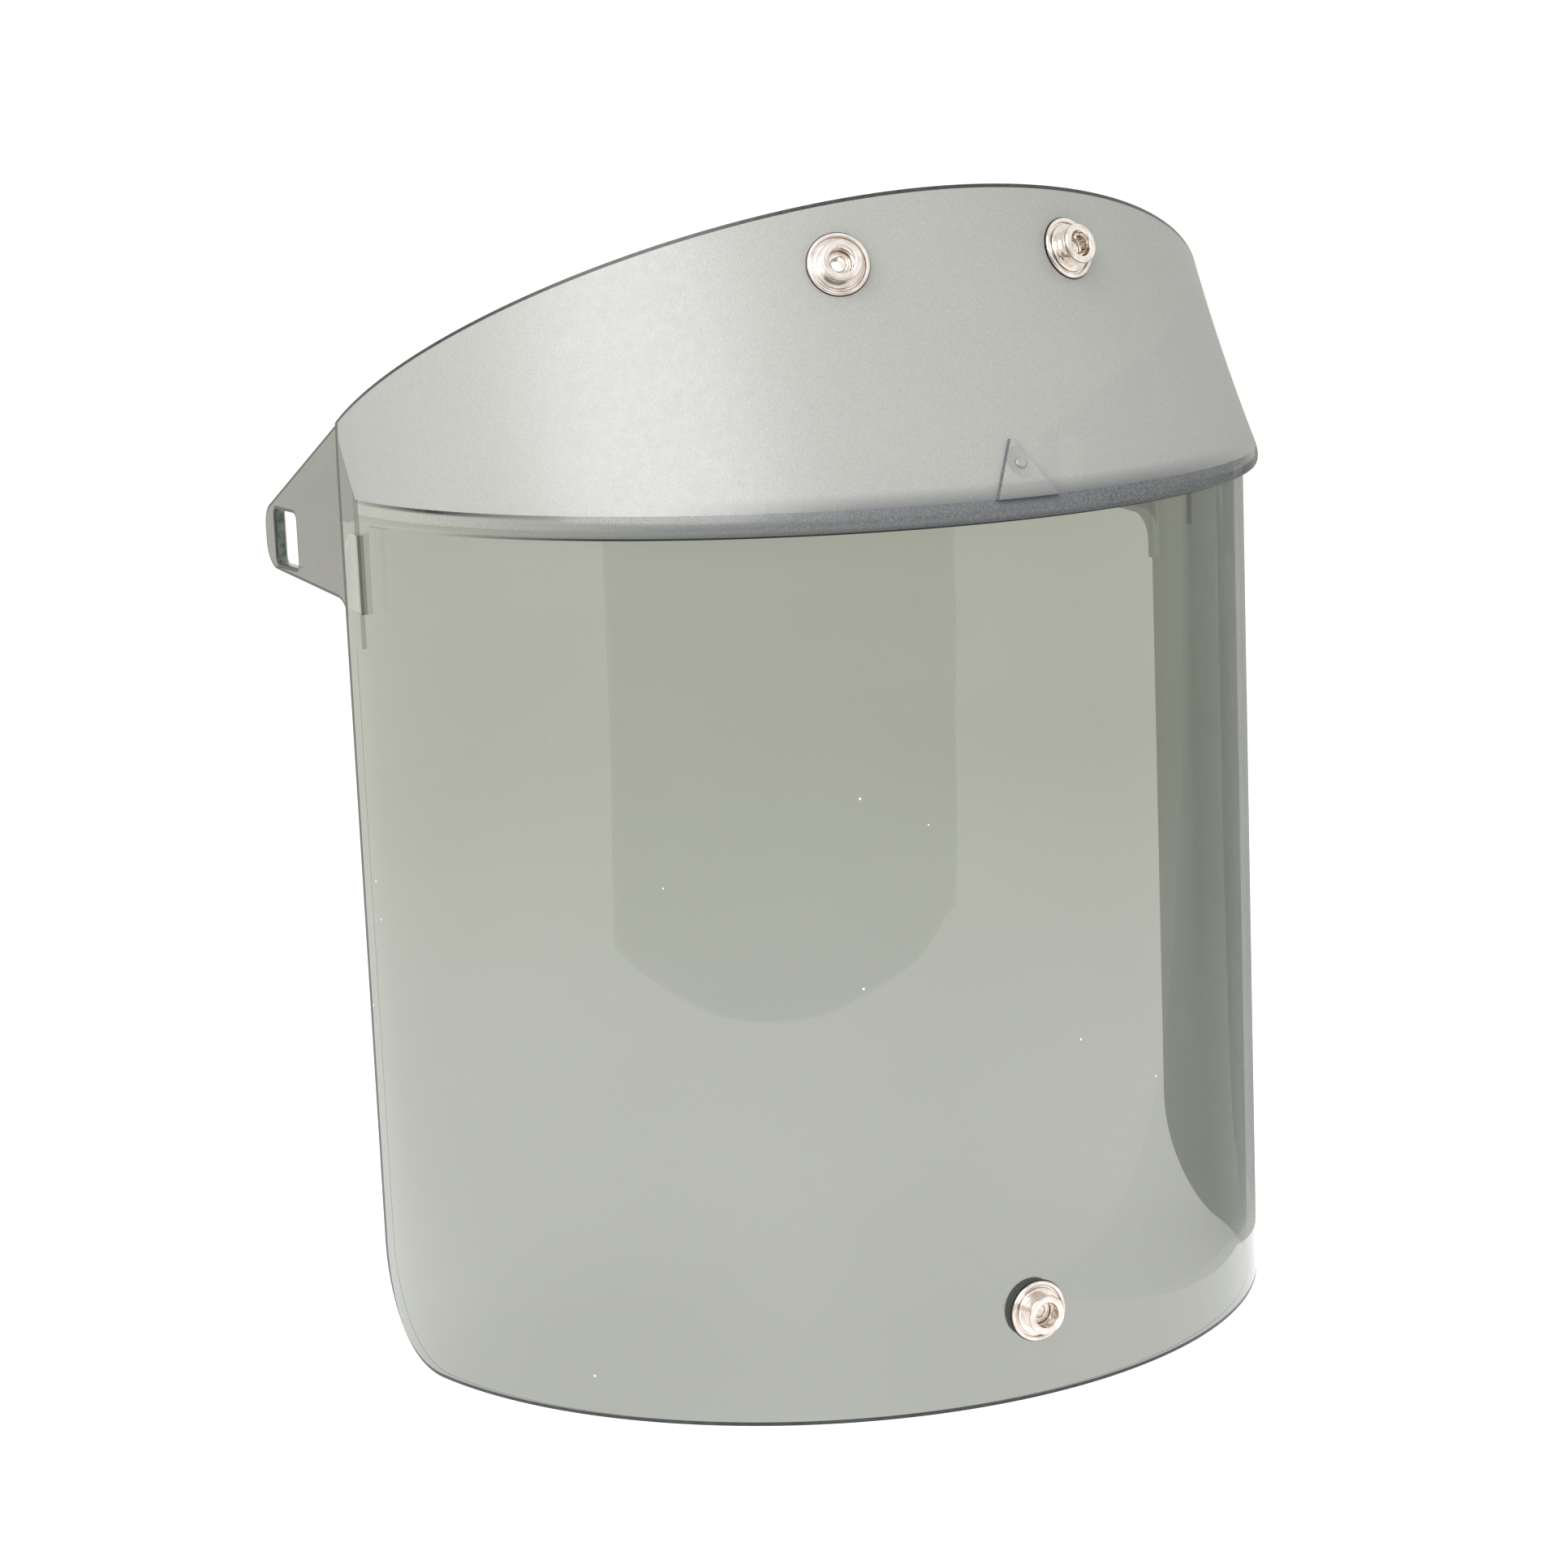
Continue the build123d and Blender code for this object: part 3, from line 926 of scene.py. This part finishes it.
stud_middle = rounded(STUD_LINE, (STAMPING_RADIUS,) * len(STUD_LINE), closed=False)
for step in range(1, BEAD_STEPS + 1):
    turn = -math.pi / 2 + math.radians(BEAD_TURN) * step / BEAD_STEPS
    curl = (BEAD_RADIUS - SHEET / 2) * Vector((math.cos(turn), math.sin(turn)))
    stud_middle.append(Vector(BEAD_CENTRE) + curl)
stud_section = sheet_section(stud_middle, SHEET / 2)
eyelet_middle = rounded(EYELET_LINE, (STAMPING_RADIUS,) * len(EYELET_LINE), closed=False)
eyelet_section = sheet_section(eyelet_middle, SHEET / 2)
inner, outer, front, back, chamfer = WASHER
washer_section = [(inner, front), (outer - chamfer, front), (outer, front - chamfer),
                  (outer, back + chamfer), (outer - chamfer, back), (inner, back)]
for place, seat in snap_places.items():
    fastener_piece(f"snap_stud_{place}", f"stud_{place}", stud_section, seat, STUD_SEGMENTS,
                   nickel)
    fastener_piece(f"snap_eyelet_{place}", f"eyelet_{place}", eyelet_section, seat, RING_SEGMENTS,
                   nickel)
    fastener_piece(f"snap_washer_{place}", f"washer_{place}", washer_section, seat, RING_SEGMENTS,
                   washer_fibre)


# ================================ studio ================================

CAMERA_AT = (-0.37342, -0.69698, 0.26977)   # metres
AZIMUTH, ELEVATION, ROLL = 0.4742, 0.192, -0.0411   # radians
LENS, SENSOR = 86.52, 36.0        # millimetres
ROOM_LIGHT = 1.1
FLOOR_REACH = 30.0                # metres from the middle to the floor's edges
FLOOR_DROP = 0.0005               # metres from the object's lowest point down to the floor
CARD_HEIGHT = 0.2                 # the drawing's millimetres
LIGHT_TARGET = Vector((0, 0, 0.13))
# Darker parts of the room, as corners in x and y of the drawing: behind the camera, beyond the
# pale floor, and to the right of the object.
BEHIND_CAMERA = ((-474, -201), (-3000, -1210), (702, -2680), (81, -535))
RIGHT_OF_OBJECT = ((30, -160), (700, -160), (3000, -300), (3000, 3000), (160, 3000), (103, 40), (103, -60))


def mirrored_card(name, outline, colour, fades):
    """Card lying above the floor that only the object's reflections show."""
    bm = bmesh.new()
    bm.faces.new([bm.verts.new(placed(x, y, CARD_HEIGHT)) for x, y in outline])
    card = mesh_object(name, bm, [room_card(name, colour, fades)])
    card.visible_camera = False
    card.visible_diffuse = False
    card.visible_shadow = False
    card.visible_transmission = False


def soft_light(name, azimuth, elevation, distance, size, power):
    """Square area light that looks at the object. Azimuth turns from the front to the object's right."""
    turn, rise = math.radians(azimuth), math.radians(elevation)
    lamp = bpy.data.lights.new(name, "AREA")
    lamp.shape = "SQUARE"
    lamp.size = size
    lamp.energy = power
    holder = bpy.data.objects.new(name, lamp)
    bpy.context.scene.collection.objects.link(holder)
    out = Vector((-math.sin(turn) * math.cos(rise), -math.cos(turn) * math.cos(rise), math.sin(rise)))
    holder.location = LIGHT_TARGET + out * distance
    holder.rotation_euler = (-out).to_track_quat("-Z", "Y").to_euler()


level = Vector((math.cos(AZIMUTH), -math.sin(AZIMUTH), 0.0))
ahead = Vector((math.sin(AZIMUTH) * math.cos(ELEVATION), math.cos(AZIMUTH) * math.cos(ELEVATION),
                -math.sin(ELEVATION)))
above = level.cross(ahead)
right = math.cos(ROLL) * level + math.sin(ROLL) * above
up = -math.sin(ROLL) * level + math.cos(ROLL) * above
camera = bpy.data.objects.new("camera", bpy.data.cameras.new("camera"))
bpy.context.scene.collection.objects.link(camera)
camera.matrix_world = Matrix.Translation(CAMERA_AT) @ Matrix((right, up, -ahead)).transposed().to_4x4()
camera.data.sensor_width = SENSOR
camera.data.lens = LENS
camera.data.clip_start = 0.01
bpy.context.scene.camera = camera

world = bpy.data.worlds.new("studio")
bpy.context.scene.world = world
world.use_nodes = True
background = world.node_tree.nodes["Background"]
background.inputs["Color"].default_value = WHITE
background.inputs["Strength"].default_value = ROOM_LIGHT

floor_mesh = bmesh.new()
bmesh.ops.create_grid(floor_mesh, x_segments=8, y_segments=8, size=FLOOR_REACH,
                      matrix=Matrix.Translation((0, 0, -FLOOR_DROP)))
floor = mesh_object("floor", floor_mesh, [studio_floor("floor")])
mirrored_card("room_behind_camera", BEHIND_CAMERA, (0.40, 0.40, 0.36, 1), fades=False)
mirrored_card("room_right", RIGHT_OF_OBJECT, (0.42, 0.43, 0.42, 1), fades=True)
soft_light("key", azimuth=60, elevation=38, distance=1.4, size=1.15, power=19.0)

scene = bpy.context.scene
scene.view_settings.view_transform = "Standard"
scene.view_settings.look = "None"
scene.cycles.transparent_max_bounces = 24
